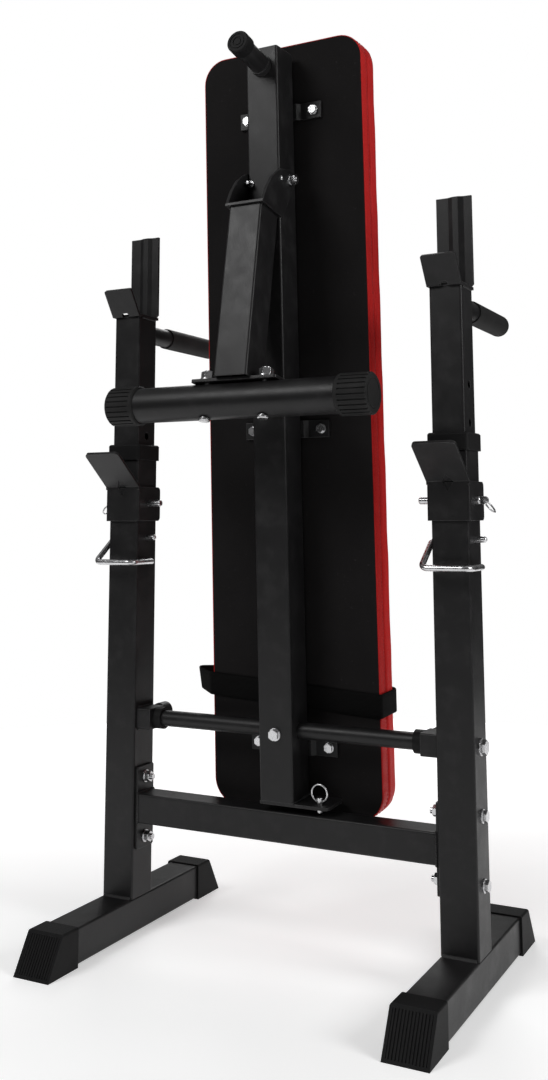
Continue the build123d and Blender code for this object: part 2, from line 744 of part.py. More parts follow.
def bench_outline(plane, inset):
    """Sketch the pad's rounded outline on a bench plane, drawn in by an inset."""
    length = PAD_S[1] - PAD_S[0]
    with BuildSketch(plane) as outline:
        with Locations((0, (PAD_S[0] + PAD_S[1]) / 2)):
            RectangleRounded(2 * (PAD_HALF - inset), length - 2 * inset, PAD_CORNER - inset)
    return outline.sketch


def board():
    """Make the black board under the pad."""
    with BuildPart() as piece:
        extrude(bench_outline(BENCH.offset(BOARD_BACK), BOARD_INSET), amount=BOARD_FRONT - BOARD_BACK)
        for s in HAT_S:
            for x in (-HAT_BOLT_X, HAT_BOLT_X):
                hole = Plane(origin=bench_point(x, s, 0), z_dir=OUT_OF_SPINE)
                disc(hole, -TUBE, TUBE, M6.radius + GAP, mode=Mode.SUBTRACT)
    save(piece, "board")


def pad():
    """Make the padded cover, which wraps round the board's edge."""
    with BuildPart() as piece:
        extrude(bench_outline(BENCH.offset(PAD_BACK), 0), amount=BOARD_FRONT - PAD_BACK)
        fillet(piece.faces().sort_by(Axis.Y)[-1].edges(), radius=PAD_BACK_ROUND)
        pocket = bench_outline(BENCH.offset(BOARD_BACK), BOARD_INSET)
        extrude(pocket, amount=BOARD_FRONT - BOARD_BACK, mode=Mode.SUBTRACT)
    save(piece, "pad")


def strap_outline(plane, thickness):
    """Sketch the strap's closed outline across the bench, grown by a thickness."""
    reach = PAD_HALF + STRAP_CLEAR
    back = -PAD_BACK + STRAP_CLEAR
    front = -BOARD_FRONT - STRAP_CLEAR
    with BuildSketch(plane) as outline:
        with BuildLine():
            Polyline(
                (reach, front),
                (reach, back),
                (-reach, back),
                (-STRAP_BULGE, (back + front) / 2),
                (-reach, front),
                close=True,
            )
        make_face()
        if thickness:
            offset(amount=thickness, kind=Kind.INTERSECTION)
        fillet(outline.vertices(), radius=STRAP_BEND + thickness)
    return outline.sketch


def strap():
    """Make the webbing loop round the bench's foot end, lower on its right and slack on its left."""
    start = Plane(origin=bench_point(0, STRAP_S - TUBE, 0), x_dir=X_AXIS, z_dir=UP_SPINE)
    with BuildPart() as piece:
        extrude(strap_outline(start, STRAP_THICKNESS), amount=2 * TUBE)
        extrude(strap_outline(start, 0), amount=2 * TUBE, mode=Mode.SUBTRACT)
        with BuildSketch(BENCH) as band:
            with Locations((0, STRAP_S)):
                Rectangle(4 * STRAP_BULGE, STRAP_WIDTH, rotation=-STRAP_SLOPE)
        extrude(band.sketch, amount=STRAP_BULGE, both=True, mode=Mode.INTERSECT)
    save(piece, "strap")


def spine_bolt():
    """Make the bolt that pins the spine to the rod."""
    head = Plane(origin=bench_point(0, SPINE_BOLT_S, TUBE / 2), z_dir=OUT_OF_SPINE)
    with BuildPart() as piece:
        bolt(head, M8, SPINE_BOLT_REACH)
    save(piece, "spine_bolt")


def spine_screw():
    """Make the small screw that stands out of the spine between the leg's ears."""
    face = Plane(origin=bench_point(SCREW_X, SCREW_S, TUBE / 2), z_dir=OUT_OF_SPINE)
    with BuildPart() as piece:
        disc(face, 0, WALL, SCREW_RADIUS + WALL)
        disc(face, 0, SCREW_LENGTH, SCREW_RADIUS)
        fillet(piece.edges().filter_by(GeomType.CIRCLE).sort_by(Axis.Y)[0], radius=EDGE_ROUND)
    save(piece, "spine_screw")


def peg_plane():
    """Return the plane at the peg's foot, normal to the peg."""
    rise = OUT_OF_SPINE + UP_SPINE * PEG_RISE
    return Plane(origin=bench_point(0, PEG_S, TUBE / 2), x_dir=X_AXIS, z_dir=rise)


def peg_tube():
    """Make the peg welded to the spine's head end."""
    foot = peg_plane()
    with BuildPart() as piece:
        disc(foot, -PEG_FOOT_LENGTH, PEG_LENGTH, PEG_RADIUS)
        disc(foot, -PEG_FOOT_LENGTH, PEG_FOOT_LENGTH, PEG_FOOT_RADIUS)
        disc(foot, PEG_FOOT_LENGTH, PEG_LENGTH, PEG_RADIUS - WALL, mode=Mode.SUBTRACT)
        split(bisect_by=BENCH.offset(TUBE / 2), keep=Keep.TOP)
    save(piece, "peg_tube")


def peg_cap():
    """Make the plastic cap on the peg, with concentric rings on its end."""
    foot = peg_plane()
    with BuildPart() as piece:
        disc(foot, PEG_CAP_START, PEG_CAP_END, PEG_CAP_RADIUS)
        fillet(piece.edges().filter_by(GeomType.CIRCLE).sort_by(Axis.Y)[0], radius=WALL)
        disc(foot, PEG_CAP_START, PEG_LENGTH, PEG_RADIUS, mode=Mode.SUBTRACT)
        for inner, outer in PEG_RINGS:
            disc(foot, PEG_CAP_END - PEG_RING_DEPTH, PEG_CAP_END, outer, hole=inner, mode=Mode.SUBTRACT)
    save(piece, "peg_cap")


# ---------------------------------------------------------------- leg


def leg_bracket():
    """Make the forked bracket that turns on the spine and carries the leg tube."""
    with BuildPart(LEG) as piece:
        plate_a = (-LEG_FOOT_PLATE_A - SHEET, -LEG_FOOT_PLATE_A)
        block((-EAR_OUTER, EAR_OUTER), plate_a, LEG_PLATE_B)
        for x in (EAR_OUTER, -EAR_INNER):
            ear = Plane(origin=leg_point(x, 0, 0), x_dir=LEG_OUT, z_dir=(-1, 0, 0))
            with BuildSketch(ear) as outline:
                with BuildLine():
                    Polyline(
                        (LEG_PLATE_B[1], plate_a[0]),
                        *EAR_FRONT,
                        (0, EAR_ROUND),
                        (-EAR_ROUND, 0),
                        (LEG_PLATE_B[0], plate_a[0]),
                        close=True,
                    )
                make_face()
                fillet(outline.vertices().sort_by(Axis.Y)[2:4], radius=EAR_BEND)
                Circle(EAR_ROUND)
                Circle(M8.radius + GAP, mode=Mode.SUBTRACT)
            extrude(amount=SHEET)
    save(piece, "leg_bracket")


def leg_tube():
    """Make the square leg tube."""
    top = Plane(
        origin=leg_point(0, LEG_FOOT_PLATE_A + SHEET, FOOT_TUBE_B), x_dir=X_AXIS, z_dir=-LEG_UP
    )
    with BuildPart() as piece:
        square_tube(top, TUBE, TUBE, LEG_END_A - LEG_FOOT_PLATE_A - SHEET)
    save(piece, "leg_tube")


def leg_saddle():
    """Make the plate between the leg tube and the foot tube."""
    with BuildPart(LEG) as piece:
        block((-SADDLE_HALF, SADDLE_HALF), (-LEG_END_A - SHEET, -LEG_END_A), SADDLE_B)
        fillet(piece.edges().filter_by(Axis((0, 0, 0), LEG_UP)), radius=SHEET)
        for x in (-SADDLE_BOLT_X, SADDLE_BOLT_X):
            hole = Plane(origin=leg_point(x, LEG_END_A, SADDLE_BOLT_B), z_dir=-LEG_UP)
            disc(hole, -SHEET, 2 * SHEET, M10.radius + GAP, mode=Mode.SUBTRACT)
    save(piece, "leg_saddle")


def saddle_bolts():
    """Make the domed bolts through the foot tube, with their nuts on the saddle plate."""
    under = FOOT_TUBE_A + FOOT_TUBE_RADIUS
    depth = under - LEG_END_A + M10.thick + LARGE_NUT_HEIGHT + WALL
    with BuildPart() as piece:
        for x in (-SADDLE_BOLT_X, SADDLE_BOLT_X):
            head = Plane(origin=leg_point(x, under, SADDLE_BOLT_B), z_dir=-LEG_UP)
            disc(head, 0, SADDLE_HEAD, SADDLE_HEAD_RADIUS)
        fillet(piece.faces().sort_by(Axis((0, 0, 0), -LEG_UP))[-2:].edges(), radius=SADDLE_HEAD_ROUND)
        for x in (-SADDLE_BOLT_X, SADDLE_BOLT_X):
            head = Plane(origin=leg_point(x, under, SADDLE_BOLT_B), z_dir=-LEG_UP)
            disc(head, -depth, 0, M10.radius)
            nut(Plane(origin=leg_point(x, LEG_END_A, SADDLE_BOLT_B), z_dir=LEG_UP), M10, LARGE_NUT_HEIGHT)
    save(piece, "saddle_bolts")


def foot_tube():
    """Make the round tube across the foot of the leg."""
    axis = Plane(origin=leg_point(0, FOOT_TUBE_A, FOOT_TUBE_B), z_dir=X_AXIS)
    with BuildPart() as piece:
        disc(axis, -FOOT_TUBE_HALF, FOOT_TUBE_HALF, FOOT_TUBE_RADIUS, hole=FOOT_TUBE_RADIUS - WALL)
        for x in (-SADDLE_BOLT_X, SADDLE_BOLT_X):
            hole = Plane(origin=leg_point(x, FOOT_TUBE_A, SADDLE_BOLT_B), z_dir=LEG_UP)
            disc(hole, -TUBE, TUBE, M10.radius + GAP, mode=Mode.SUBTRACT)
    save(piece, "foot_tube")


def foot_grip(name, side):
    """Make one grooved rubber cap on the foot tube."""
    centre = leg_point(side * GRIP_CAP_INNER, FOOT_TUBE_A, FOOT_TUBE_B)
    start = Plane(origin=centre, x_dir=LEG_OUT, z_dir=(side, 0, 0))
    length = GRIP_CAP_OUTER - GRIP_CAP_INNER
    groove_start = GROOVE_START - GRIP_CAP_INNER
    with BuildPart() as piece:
        disc(start, 0, length, GRIP_CAP_RADIUS)
        chamfer(piece.edges().filter_by(GeomType.CIRCLE), length=WALL)
        disc(start, 0, FOOT_TUBE_HALF - GRIP_CAP_INNER, FOOT_TUBE_RADIUS, mode=Mode.SUBTRACT)
        with BuildSketch(start.offset(groove_start)):
            with PolarLocations(GRIP_CAP_RADIUS, GRIP_CAP_GROOVES):
                Rectangle(2 * GROOVE_DEPTH, GROOVE_WIDTH)
        extrude(amount=length, mode=Mode.SUBTRACT)
        recess = FOOT_TUBE_RADIUS - 2 * WALL
        disc(start, length - CAP_RING_DEPTH, length, recess, hole=recess - WALL, mode=Mode.SUBTRACT)
    save(piece, name)


def leg_pivot_bolt():
    """Make the bolt on which the leg turns, with its nut on the right."""
    left = Plane(origin=leg_point(-EAR_OUTER, 0, 0), z_dir=(-1, 0, 0))
    right = Plane(origin=leg_point(EAR_OUTER, 0, 0), z_dir=X_AXIS)
    with BuildPart() as piece:
        bolt(left, M8, 2 * EAR_OUTER + M8.thick + NUT_HEIGHT + WALL)
        nut(right, M8, NUT_HEIGHT)
    save(piece, "leg_pivot_bolt")


def ear_rivet():
    """Make the small domed rivet on the right ear."""
    face = Plane(origin=bench_point(EAR_OUTER, RIVET_S, RIVET_N), z_dir=X_AXIS)
    with BuildPart() as piece:
        disc(face, 0, RIVET_HEIGHT, RIVET_RADIUS)
        fillet(piece.edges().filter_by(GeomType.CIRCLE).sort_by(Axis.X)[-1], radius=WALL)
    save(piece, "ear_rivet")


# ---------------------------------------------------------------- lock


def lock_pin():
    """Make the pull pin in the lock tab, cross-drilled for its ring."""
    axis = Plane(origin=bench_point(LOCK_X, 0, LOCK_N), z_dir=UP_SPINE)
    eye = Plane(origin=bench_point(LOCK_X, LOCK_EYE_S, LOCK_N), z_dir=X_AXIS)
    with BuildPart() as piece:
        disc(axis, LOCK_S[0], LOCK_S[1], LOCK_RADIUS)
        fillet(piece.edges().filter_by(GeomType.CIRCLE), radius=EDGE_ROUND)
        disc(eye, -TUBE / 2, TUBE / 2, LOCK_EYE_RADIUS, mode=Mode.SUBTRACT)
    save(piece, "lock_pin")


def lock_ring():
    """Make the ring in the lock pin's cross hole."""
    centre = bench_point(LOCK_X, LOCK_EYE_S - LOCK_RING_OFFSET + LOCK_RING_RADIUS, LOCK_N)
    with BuildPart(Plane(origin=centre, x_dir=X_AXIS, z_dir=OUT_OF_SPINE)) as piece:
        Torus(LOCK_RING_RADIUS, LOCK_RING_WIRE)
    save(piece, "lock_ring")


# ---------------------------------------------------------------- build

os.makedirs("parts", exist_ok=True)

for letter, hand in SIDES.items():
    base_tube(f"base_tube_{letter}", hand)
    foot_cap(f"foot_cap_{letter}_front", hand, -1)
    foot_cap(f"foot_cap_{letter}_back", hand, 1)
    upright(f"upright_{letter}", hand)
    collar(f"collar_{letter}", hand)
    beam_plate(f"beam_plate_{letter}", hand)
    rod_block(f"rod_block_{letter}", hand)
    catch(f"catch_{letter}", hand)
    catch_pin(f"catch_pin_{letter}", hand)
    split_ring(f"split_ring_{letter}", hand)
    bail(f"bail_{letter}", hand)
    post_tube(f"post_tube_{letter}", hand)
    cradle(f"cradle_{letter}", hand)
    handle_stub(f"handle_stub_{letter}", hand)
    handle_grip(f"handle_grip_{letter}", hand)
    foot_grip(f"foot_grip_{letter}", hand)

crossbeam()
beam_bolts()
rod_bushes()
rod_bosses()
rod_end_bolts()

rod()
spine()
lock_tab()
for place, height in zip(("head", "middle", "foot"), HAT_S):
    hat_bracket(f"hat_bracket_{place}", height)
hat_bolts()
board()
pad()
strap()
spine_bolt()
spine_screw()
peg_tube()
peg_cap()

leg_bracket()
leg_tube()
leg_saddle()
saddle_bolts()
foot_tube()
leg_pivot_bolt()
ear_rivet()

lock_pin()
lock_ring()
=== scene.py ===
"""Looks of the folding sit-up bench: materials, vinyl pad, strap, weld beads, studio and camera."""

import json
import math
import random

import bmesh
import bpy
from mathutils import Matrix, Vector, noise


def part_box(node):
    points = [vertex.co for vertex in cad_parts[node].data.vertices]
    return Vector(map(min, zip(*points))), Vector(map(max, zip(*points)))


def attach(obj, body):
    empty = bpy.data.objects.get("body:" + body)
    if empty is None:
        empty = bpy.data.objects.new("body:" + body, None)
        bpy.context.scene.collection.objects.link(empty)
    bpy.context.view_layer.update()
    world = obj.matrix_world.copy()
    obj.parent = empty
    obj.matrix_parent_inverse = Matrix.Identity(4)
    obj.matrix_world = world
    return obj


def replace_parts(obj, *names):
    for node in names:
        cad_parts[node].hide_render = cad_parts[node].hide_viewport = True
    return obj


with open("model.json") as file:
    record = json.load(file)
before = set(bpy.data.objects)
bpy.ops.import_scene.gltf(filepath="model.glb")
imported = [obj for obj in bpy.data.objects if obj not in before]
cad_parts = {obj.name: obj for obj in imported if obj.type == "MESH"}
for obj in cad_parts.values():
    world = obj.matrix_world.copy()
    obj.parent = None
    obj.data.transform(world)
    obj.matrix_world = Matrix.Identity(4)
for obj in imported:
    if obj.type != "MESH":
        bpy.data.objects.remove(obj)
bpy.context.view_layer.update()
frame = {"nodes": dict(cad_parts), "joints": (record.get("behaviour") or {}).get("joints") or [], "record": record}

NODES = frame["nodes"]
JOINTS = {joint["name"]: joint for joint in frame["joints"]}

# ---------------------------------------------------------------- sizes, in metres

PAD_CORNER = 0.036
PAD_EDGE = 0.004  # rounding of the cushion's rear edge before it is blown up
PAD_EXTRA = 0.002  # how far the cushion starts behind the CAD pad
PAD_SWELL = 0.004  # how far its face may crown
PAD_SIDE_PULL = 0.0012  # how far its sides may pull in
PAD_HELD = 0.006  # the depth held still at the seam
PAD_RIPPLE = 0.0005
VOXEL = 0.005
ARC_STEPS = 10

WRAP_DEPTH = 0.020  # from the board's front back to the seam
WRAP_LIP = 0.0014
WRAP_TUCK = 0.0065
SEAM_GROOVE = 0.0011
STITCH_BESIDE_SEAM = 0.0042
STITCH_PITCH = 0.0052
STITCH_LENGTH = 0.0034
STITCH_RADIUS = 0.00045

STRAP_WIDTH = 0.032
STRAP_THICKNESS = 0.0022
STRAP_CLEARANCE = 0.0006
STRAP_RIM = 0.0012
STRAP_STEP = 0.006
BEND_STEPS = 8
STRAP_SAG = 0.0012

WELD_RADIUS = 0.0021
WELD_PITCH = 0.0017

# ---------------------------------------------------------------- studio values

FLOOR_RADIUS = 1.8
FLOOR_GLOW_START = 0.4
# the floor's glow is painted light, held low near the bench as a painted shadow
FLOOR_GLOW_NEAR = 0.38
FLOOR_GLOW_FAR = 0.95
WALL_LIGHT = 0.03
CEILING_LIGHT = 0.30

# name, place, target, size in metres, power in watts
SOFTBOXES = (
    ("key", (-0.9, -1.8, 2.2), (0, 0, 1.15), 0.9, 25),
    ("fill", (2.5, -0.2, 1.6), (0, 0, 0.9), 1.1, 30),
    ("rear", (-1.2, 2.4, 2.4), (0, 0, 0.8), 1.4, 22),
)

CAMERA_PLACE = (0.7395, -1.4196, 0.5822)
CAMERA_YAW = math.radians(27.104)
CAMERA_PITCH = math.radians(8.08)
CAMERA_ROLL = math.radians(-0.22)
CAMERA_LENS = 37.79
CAMERA_SENSOR = 36.0
CAMERA_SHIFT = (-0.0153, -0.1723)

# ---------------------------------------------------------------- bench frame

ROD = Vector(JOINTS["bench_fold"]["pos_m"])
UP = Vector(JOINTS["lock_pin_pull"]["axis"]).normalized()
OUT = Vector((0, -UP.z, UP.y))
ACROSS = Vector((1, 0, 0))


def bench_point(x, s, n):
    """Turn bench coordinates (across, up the spine, forward) into a place in the frame."""
    return ROD + ACROSS * x + UP * s + OUT * n


def depth_of(place):
    """Return the forward bench coordinate n of a place in the frame."""
    return (place - ROD).dot(OUT)


def height_of(place):
    """Return the bench coordinate s, up the spine, of a place in the frame."""
    return (place - ROD).dot(UP)


def bench_box(node):
    """Return the lowest and highest bench coordinates (x, s, n) of a CAD node."""
    places = [vertex.co for vertex in NODES[node].data.vertices]
    local = [(place.x, height_of(place), depth_of(place)) for place in places]
    low = [min(values) for values in zip(*local)]
    high = [max(values) for values in zip(*local)]
    return low, high


# ---------------------------------------------------------------- material helpers


class Shader:
    """A small wrapper that builds one node material."""

    def __init__(self, name):
        self.material = bpy.data.materials.new(name)
        self.material.use_nodes = True
        self.tree = self.material.node_tree
        self.bsdf = self.tree.nodes["Principled BSDF"]
        self.place = self.add("ShaderNodeTexCoord").outputs["Object"]

    def add(self, kind, **settings):
        """Add a node and set its properties."""
        node = self.tree.nodes.new(kind)
        for key, value in settings.items():
            setattr(node, key, value)
        return node

    def link(self, source, target):
        """Join two sockets."""
        self.tree.links.new(source, target)

    def fixed(self, **values):
        """Set constant values on the shader's own sockets."""
        for key, value in values.items():
            self.bsdf.inputs[key.replace("_", " ")].default_value = value

    def noise(self, scale, detail=4.0, roughness=0.6, stretch=(1, 1, 1)):
        """Return the value of a noise texture over the object's own coordinates."""
        mapping = self.add("ShaderNodeMapping")
        mapping.inputs["Scale"].default_value = stretch
        self.link(self.place, mapping.inputs["Vector"])
        texture = self.add("ShaderNodeTexNoise")
        texture.inputs["Scale"].default_value = scale
        texture.inputs["Detail"].default_value = detail
        texture.inputs["Roughness"].default_value = roughness
        self.link(mapping.outputs["Vector"], texture.inputs["Vector"])
        return texture.outputs["Fac"]

    def cells(self, scale):
        """Return the distance to the edges of a Voronoi texture's cells."""
        texture = self.add("ShaderNodeTexVoronoi", feature="DISTANCE_TO_EDGE")
        texture.inputs["Scale"].default_value = scale
        self.link(self.place, texture.inputs["Vector"])
        return texture.outputs["Distance"]

    def spread(self, value, low, high, start=0.3, end=0.7):
        """Map a value from one range to another, clamped."""
        node = self.add("ShaderNodeMapRange")
        node.inputs["From Min"].default_value = start
        node.inputs["From Max"].default_value = end
        node.inputs["To Min"].default_value = low
        node.inputs["To Max"].default_value = high
        self.link(value, node.inputs["Value"])
        return node.outputs["Result"]

    def math(self, operation, first, second):
        """Return a math node of two values, either of which may be a number."""
        node = self.add("ShaderNodeMath", operation=operation)
        for socket, value in zip(node.inputs, (first, second)):
            if isinstance(value, (int, float)):
                socket.default_value = value
            else:
                self.link(value, socket)
        return node.outputs["Value"]

    def mix(self, factor, first, second):
        """Return a colour mix; each colour is a socket or an rgb triple."""
        node = self.add("ShaderNodeMix", data_type="RGBA")
        self.link(factor, node.inputs["Factor"])
        sockets = [item for item in node.inputs if item.type == "RGBA"]
        for socket, value in zip(sockets, (first, second)):
            if isinstance(value, tuple):
                socket.default_value = (*value, 1)
            else:
                self.link(value, socket)
        return next(item for item in node.outputs if item.type == "RGBA")

    def soft_edges(self, radius):
        """Return the rounded normal and a mask that is 1 along sharp edges."""
        bevel = self.add("ShaderNodeBevel", samples=6)
        bevel.inputs["Radius"].default_value = radius
        geometry = self.add("ShaderNodeNewGeometry")
        dot = self.add("ShaderNodeVectorMath", operation="DOT_PRODUCT")
        self.link(bevel.outputs["Normal"], dot.inputs[0])
        self.link(geometry.outputs["Normal"], dot.inputs[1])
        mask = self.spread(dot.outputs["Value"], 1.0, 0.0, start=0.90, end=0.985)
        return bevel.outputs["Normal"], mask

    def bump(self, height, strength, distance, normal=None):
        """Add a bump and return its normal."""
        node = self.add("ShaderNodeBump")
        node.inputs["Strength"].default_value = strength
        node.inputs["Distance"].default_value = distance
        self.link(height, node.inputs["Height"])
        if normal is not None:
            self.link(normal, node.inputs["Normal"])
        return node.outputs["Normal"]

    def finish(self, colour=None, roughness=None, normal=None):
        """Join the finished maps to the shader."""
        for value, key in ((colour, "Base Color"), (roughness, "Roughness"), (normal, "Normal")):
            if value is not None:
                self.link(value, self.bsdf.inputs[key])
        return self.material


# ---------------------------------------------------------------- materials


def powder_coat():
    """Satin black powder coat: fine orange peel, faint dust and paler worn edges."""
    shader = Shader("powder_coat_black")
    shader.fixed(Metallic=0.0, Specular_IOR_Level=0.28)
    broad = shader.noise(6.0)
    patch = shader.noise(38.0)
    peel = shader.noise(1500.0, detail=2.0)
    rounded, edge = shader.soft_edges(0.0012)
    dust = shader.spread(broad, 0, 1)
    dusty = shader.mix(dust, (0.0075, 0.0073, 0.0077), (0.0118, 0.0114, 0.0119))
    marked = shader.mix(shader.spread(patch, 0, 0.5, 0.5, 0.8), dusty, (0.030, 0.029, 0.030))
    wear = shader.math("MULTIPLY", edge, shader.spread(patch, 0.15, 0.75, 0.35, 0.65))
    colour = shader.mix(wear, marked, (0.095, 0.093, 0.095))
    rough = shader.math("ADD", shader.spread(patch, 0.33, 0.44), shader.spread(peel, 0, 0.05))
    normal = shader.bump(peel, 0.22, 0.00035, rounded)
    return shader.finish(colour, rough, normal)


def moulded_plastic():
    """Black moulded plastic: fine spark texture, a little paler where it is rubbed."""
    shader = Shader("moulded_plastic_black")
    shader.fixed(Metallic=0.0, Specular_IOR_Level=0.11)
    grain = shader.noise(2600.0, detail=2.0)
    broad = shader.noise(14.0)
    rounded, edge = shader.soft_edges(0.0009)
    tone = shader.spread(broad, 0, 1)
    base = shader.mix(tone, (0.0075, 0.0075, 0.0078), (0.0120, 0.0118, 0.0120))
    colour = shader.mix(shader.math("MULTIPLY", edge, 0.5), base, (0.045, 0.045, 0.046))
    rough = shader.spread(grain, 0.48, 0.62)
    return shader.finish(colour, rough, shader.bump(grain, 0.35, 0.0003, rounded))


def soft_rubber():
    """Dark matt rubber with a dusty bloom."""
    shader = Shader("rubber_black")
    shader.fixed(Metallic=0.0, Specular_IOR_Level=0.14)
    grain = shader.noise(1900.0, detail=3.0)
    bloom = shader.noise(20.0)
    rounded, edge = shader.soft_edges(0.001)
    tone = shader.spread(bloom, 0, 1)
    base = shader.mix(tone, (0.012, 0.012, 0.012), (0.021, 0.0205, 0.0205))
    colour = shader.mix(shader.math("MULTIPLY", edge, 0.4), base, (0.06, 0.06, 0.06))
    rough = shader.spread(grain, 0.55, 0.72)
    return shader.finish(colour, rough, shader.bump(grain, 0.4, 0.0003, rounded))


def bright_zinc():
    """Bright zinc plate: brushed streaks and paler, duller patches."""
    shader = Shader("zinc_plate")
    shader.fixed(Metallic=1.0)
    streak = shader.noise(420.0, detail=3.0, stretch=(1, 1, 7))
    cloud = shader.noise(90.0)
    rounded, edge = shader.soft_edges(0.0005)
    base = shader.mix(shader.spread(cloud, 0, 1), (0.50, 0.50, 0.51), (0.68, 0.68, 0.69))
    colour = shader.mix(shader.math("MULTIPLY", edge, 0.6), base, (0.84, 0.84, 0.85))
    rough = shader.math("ADD", shader.spread(cloud, 0.16, 0.30), shader.spread(streak, 0, 0.08))
    return shader.finish(colour, rough, shader.bump(streak, 0.12, 0.0002, rounded))


def red_vinyl():
    """Red upholstery vinyl: pebbled leather grain, soft creases and painted shade in the hollows between the
    pebbles.
    """
    shader = Shader("vinyl_red")
    shader.fixed(Metallic=0.0, Specular_IOR_Level=0.08)
    pebble = shader.cells(620.0)
    crease = shader.noise(30.0, detail=3.0, stretch=(1, 1, 2.2))
    broad = shader.noise(5.0)
    base = shader.mix(shader.spread(broad, 0, 1), (0.48, 0.016, 0.0145), (0.60, 0.022, 0.020))
    # painted shade: the colour darkens to a deep red in the hollows between the pebbles
    hollow_shade = shader.spread(pebble, 0.45, 0.0, 0.0, 0.12)
    colour = shader.mix(hollow_shade, base, (0.24, 0.008, 0.012))
    rough = shader.spread(crease, 0.40, 0.52)
    folds = shader.bump(crease, 0.35, 0.0035)
    grain = shader.bump(shader.spread(pebble, 0, 1, 0.0, 0.2), 0.35, 0.0003, folds)
    return shader.finish(colour, rough, grain)


def board_lining():
    """Black spun lining stretched over the board: matt fibres with lint and faint creases."""
    shader = Shader("board_lining_black")
    shader.fixed(Metallic=0.0, Specular_IOR_Level=0.1)
    fibre = shader.noise(900.0, detail=6.0, roughness=0.75, stretch=(1, 1, 0.35))
    lint = shader.noise(170.0, detail=2.0)
    broad = shader.noise(4.0)
    tone = shader.spread(broad, 0, 1)
    base = shader.mix(tone, (0.0085, 0.0078, 0.0080), (0.0135, 0.0124, 0.0126))
    colour = shader.mix(shader.spread(lint, 0, 0.6, 0.68, 0.80), base, (0.030, 0.028, 0.028))
    rough = shader.spread(fibre, 0.80, 0.95)
    creased = shader.bump(broad, 0.2, 0.004)
    return shader.finish(colour, rough, shader.bump(fibre, 0.5, 0.0005, creased))


def woven_webbing():
    """Black webbing: ribs along the strap crossed by fine picks, from its own UV map."""
    shader = Shader("webbing_black")
    shader.fixed(Metallic=0.0, Specular_IOR_Level=0.1)
    uv = shader.add("ShaderNodeUVMap", uv_map="webbing")
    waves = []
    for direction, scale in (("X", 190.0), ("Y", 420.0)):
        wave = shader.add("ShaderNodeTexWave", bands_direction=direction)
        wave.inputs["Scale"].default_value = scale
        wave.inputs["Distortion"].default_value = 0.6
        shader.link(uv.outputs["UV"], wave.inputs["Vector"])
        waves.append(wave.outputs["Fac"])
    weave = shader.math("MULTIPLY", waves[0], waves[1])
    colour = shader.mix(weave, (0.003, 0.003, 0.003), (0.010, 0.0095, 0.0095))
    rough = shader.spread(weave, 0.92, 0.72, 0.0, 1.0)
    return shader.finish(colour, rough, shader.bump(weave, 0.8, 0.0006))


def thread():
    """Red sewing thread with a fine twist."""
    shader = Shader("thread_red")
    shader.fixed(Metallic=0.0, Sheen_Weight=0.2)
    twist = shader.noise(2400.0, detail=1.0)
    colour = shader.mix(shader.spread(twist, 0, 1), (0.30, 0.008, 0.012), (0.46, 0.02, 0.026))
    rough = shader.spread(twist, 0.55, 0.7)
    return shader.finish(colour, rough, shader.bump(twist, 0.4, 0.0002))


def pale_floor():
    """Plain pale studio floor with painted light: it glows, dimmer near the middle as a painted shadow round the
    bench and lighter towards its rim.
    """
    shader = Shader("studio_floor")
    shader.fixed(Metallic=0.0)
    mottle = shader.noise(2.0)
    distance = shader.add("ShaderNodeVectorMath", operation="LENGTH")
    shader.link(shader.place, distance.inputs[0])
    # painted light: the floor glows, dimmer near the middle as a painted shadow round the bench
    glow = shader.spread(
        distance.outputs["Value"], FLOOR_GLOW_NEAR, FLOOR_GLOW_FAR, FLOOR_GLOW_START, FLOOR_RADIUS
    )
    shader.bsdf.inputs["Emission Color"].default_value = (1, 1, 1, 1)
    shader.link(glow, shader.bsdf.inputs["Emission Strength"])
    colour = shader.mix(mottle, (0.86, 0.86, 0.86), (0.90, 0.90, 0.90))
    return shader.finish(colour, shader.spread(mottle, 0.7, 0.8))


MATERIALS = {
    "black_steel": powder_coat(),
    "black_plastic": moulded_plastic(),
    "black_rubber": soft_rubber(),
    "zinc_steel": bright_zinc(),
    "red_vinyl": red_vinyl(),
    "black_board": board_lining(),
    "black_webbing": woven_webbing(),
}
THREAD = thread()


def dress_cad_nodes():
    """Give every CAD node the material of its record slot."""
    for entry in frame["record"]["subparts"]:
        mesh = NODES[entry["node"]].data
        mesh.materials.clear()
        mesh.materials.append(MATERIALS[entry["material_slot"]])


# ---------------------------------------------------------------- mesh helpers


def make_object(name, bm, material, smooth=True):
    """Turn a bmesh into a linked object."""
    mesh = bpy.data.meshes.new(name)
    bm.to_mesh(mesh)
    bm.free()
    mesh.materials.append(material)
    for polygon in mesh.polygons:
        polygon.use_smooth = smooth
    obj = bpy.data.objects.new(name, mesh)
    bpy.context.scene.collection.objects.link(obj)
    return obj


def apply_modifiers(obj):
    """Replace an object's mesh by its evaluated one, and drop its modifiers."""
    depsgraph = bpy.context.evaluated_depsgraph_get()
    evaluated = bpy.data.meshes.new_from_object(obj.evaluated_get(depsgraph))
    obj.modifiers.clear()
    obj.data = evaluated
    for polygon in obj.data.polygons:
        polygon.use_smooth = True


def bridge(bm, loops, closed_profile=False):
    """Join rings of vertices of equal length with quads."""
    pairs = list(zip(loops, loops[1:]))
    if closed_profile:
        pairs.append((loops[-1], loops[0]))
    for lower, upper in pairs:
        count = len(lower)
        for i in range(count):
            j = (i + 1) % count
            bm.faces.new((lower[i], lower[j], upper[j], upper[i]))


# ---------------------------------------------------------------- pad

PAD_LOW, PAD_HIGH = bench_box("pad")
BOARD_FRONT_N = bench_box("board")[1][2]
SEAM_N = BOARD_FRONT_N - WRAP_DEPTH
PAD_CORE_N = -0.06  # the line inside the pad that its ripples point away from


